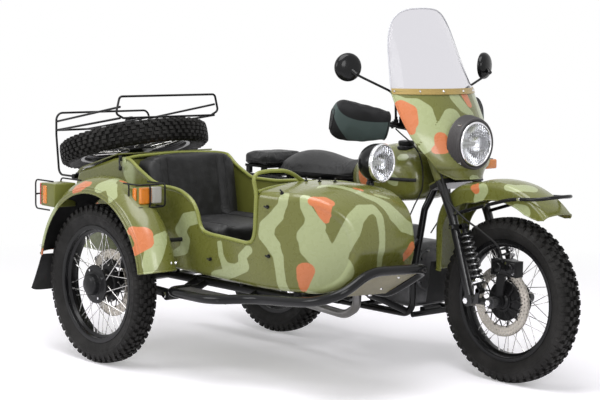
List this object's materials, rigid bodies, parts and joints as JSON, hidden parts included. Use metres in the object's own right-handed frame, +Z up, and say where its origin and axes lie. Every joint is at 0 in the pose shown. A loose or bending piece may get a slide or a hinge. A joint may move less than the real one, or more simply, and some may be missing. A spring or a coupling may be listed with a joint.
{
  "type": "sidecar motorcycle",
  "caption": "Boxer-twin motorcycle with a closed-nose sidecar on its right, windscreen fairing, hand muffs, spotlight and a spare wheel on the boot lid.",
  "frame": {"origin": "on the ground, under the middle of the outfit's bounding box", "axes": "+X forward, +Y to the rider's left, +Z up; the sidecar is on the right, towards -Y"},
  "size_m": [2.4464, 1.67, 1.5478],
  "materials": {
    "tyre": "matte block tread rubber",
    "rim_black": "satin black rim with bright spokes",
    "frame_black": "satin black enamel",
    "fork_olive": "semi-gloss olive green enamel",
    "engine_alloy": "as-cast alloy",
    "exhaust_steel": "dull steel",
    "camouflage_paint": "semi-gloss enamel in olive, pale sage and rust orange patches",
    "seat_vinyl": "black seat vinyl",
    "muff_fabric": "coated fabric",
    "screen_clear": "clear acrylic sheet",
    "lamp_shell": "black lamp shells with bright reflectors",
    "lamp_lens": "clear, amber and red lenses in dark housings",
    "flap_rubber": "matte rubber sheet"
  },
  "bodies": {
    "outfit": {"main_frame": "frame_black", "swing_arm": "frame_black", "engine_block": "engine_alloy", "engine_cylinders": "engine_alloy", "exhaust": "exhaust_steel", "fuel_tank": "camouflage_paint", "saddle": "seat_vinyl", "saddle_base": "frame_black", "pillion_pad": "seat_vinyl", "rear_mudguard": "camouflage_paint", "tail_lamp": "lamp_lens", "foot_controls": "frame_black", "sidecar_frame": "frame_black", "sidecar_arm": "frame_black", "shock_absorbers": "frame_black", "drive_shaft": "frame_black", "brake_calipers": "frame_black", "bumper": "frame_black", "sidecar_body": "camouflage_paint", "sidecar_mudguard": "camouflage_paint", "mud_flap": "flap_rubber", "marker_lamps": "lamp_lens", "seat_back": "seat_vinyl", "seat_cushion": "seat_vinyl", "spotlight": "lamp_shell"},
    "steering": {"fork": "fork_olive", "front_shocks": "frame_black", "front_caliper": "frame_black", "front_mudguard": "camouflage_paint", "mudguard_rail": "frame_black", "headlight": "lamp_shell", "fairing": "camouflage_paint", "windscreen": "screen_clear", "handlebar": "frame_black", "mirrors": "lamp_shell", "hand_muffs": "muff_fabric", "front_indicator": "lamp_lens"},
    "front_roller": {"front_tyre": "tyre", "front_wheel": "rim_black"},
    "rear_roller": {"rear_tyre": "tyre", "rear_wheel": "rim_black"},
    "side_roller": {"sidecar_tyre": "tyre", "sidecar_wheel": "rim_black"},
    "lid": {"boot_lid": "camouflage_paint", "spare_tyre": "tyre", "spare_wheel": "rim_black", "luggage_rack": "frame_black"},
    "stand": {"centre_stand": "frame_black"}
  },
  "joints": [
    {"name": "steering_turn", "type": "hinge", "parent": "outfit", "child": "steering", "pos_m": [0.546, 0.355, 0.778], "axis": [-0.454, 0, 0.891], "range_deg": [-35, 35]},
    {"name": "front_roll", "type": "hinge", "parent": "steering", "child": "front_roller", "pos_m": [0.877, 0.355, 0.346], "axis": [0, 1, 0], "continuous": true},
    {"name": "rear_roll", "type": "hinge", "parent": "outfit", "child": "rear_roller", "pos_m": [-0.598, 0.355, 0.346], "axis": [0, 1, 0], "continuous": true},
    {"name": "side_roll", "type": "hinge", "parent": "outfit", "child": "side_roller", "pos_m": [-0.498, -0.745, 0.346], "axis": [0, 1, 0], "continuous": true},
    {"name": "lid_hinge", "type": "hinge", "parent": "outfit", "child": "lid", "pos_m": [-0.986, -0.295, 0.765], "axis": [0, -1, 0], "range_deg": [0, 70]},
    {"name": "stand_fold", "type": "hinge", "parent": "outfit", "child": "stand", "pos_m": [-0.198, 0.355, 0.205], "axis": [0, -1, 0], "range_deg": [0, 80], "stiffness_Nm_per_rad": 12, "springref_deg": -20.05}
  ]
}
